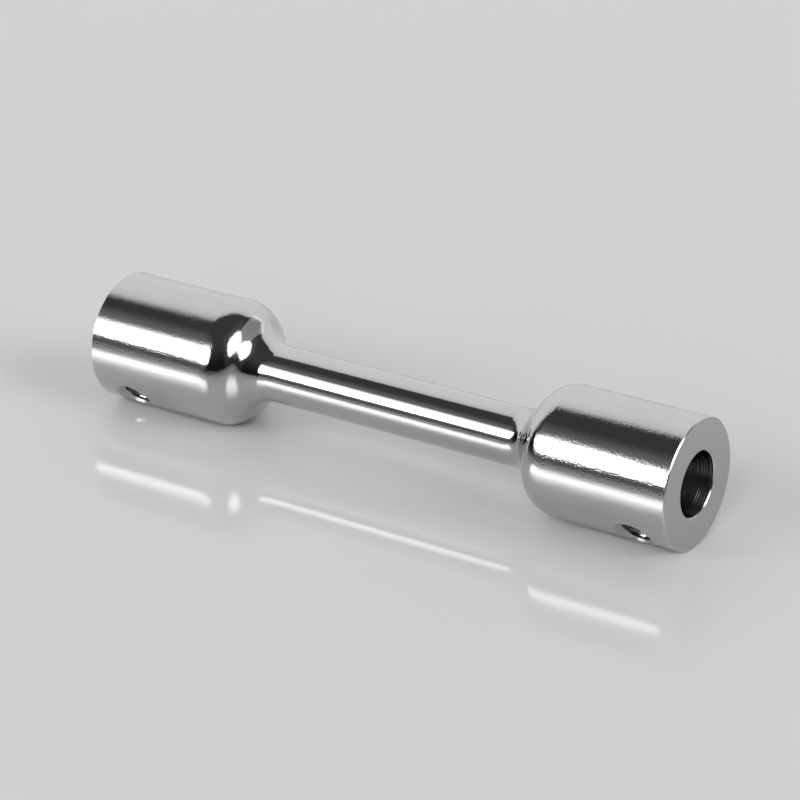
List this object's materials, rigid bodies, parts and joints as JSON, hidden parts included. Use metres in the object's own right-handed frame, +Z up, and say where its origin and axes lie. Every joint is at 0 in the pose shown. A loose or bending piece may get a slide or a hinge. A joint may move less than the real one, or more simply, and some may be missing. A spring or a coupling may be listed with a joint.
{
  "type": "universal joint shaft",
  "caption": "Rigid drive shaft with a round, bored hub at each end of a slim centre, each hub clamped by a set screw, for linking universal joints.",
  "frame": {"origin": "on the shaft axis, midway between the two end faces", "axes": "+X along the shaft axis towards the right-hand hub, +Z up as the shaft lies on a table, both set screws facing -Y and 43 degrees below horizontal"},
  "size_m": [0.082, 0.016, 0.016],
  "materials": {
    "polished_plate": "bright plating over ground and polished steel, with very fine turning lines",
    "screw_steel": "plain machined steel, lightly oiled"
  },
  "bodies": {
    "shaft": {"shaft_body": "polished_plate"},
    "left_screw": {"left_set_screw": "screw_steel"},
    "right_screw": {"right_set_screw": "screw_steel"}
  },
  "joints": [
    {"name": "left_screw_travel", "type": "slide", "parent": "shaft", "child": "left_screw", "axis": [0, -0.7314, -0.682], "range_m": [-0.0007, 0.0042]},
    {"name": "right_screw_travel", "type": "slide", "parent": "shaft", "child": "right_screw", "axis": [0, -0.7314, -0.682], "range_m": [-0.0007, 0.0042]}
  ]
}
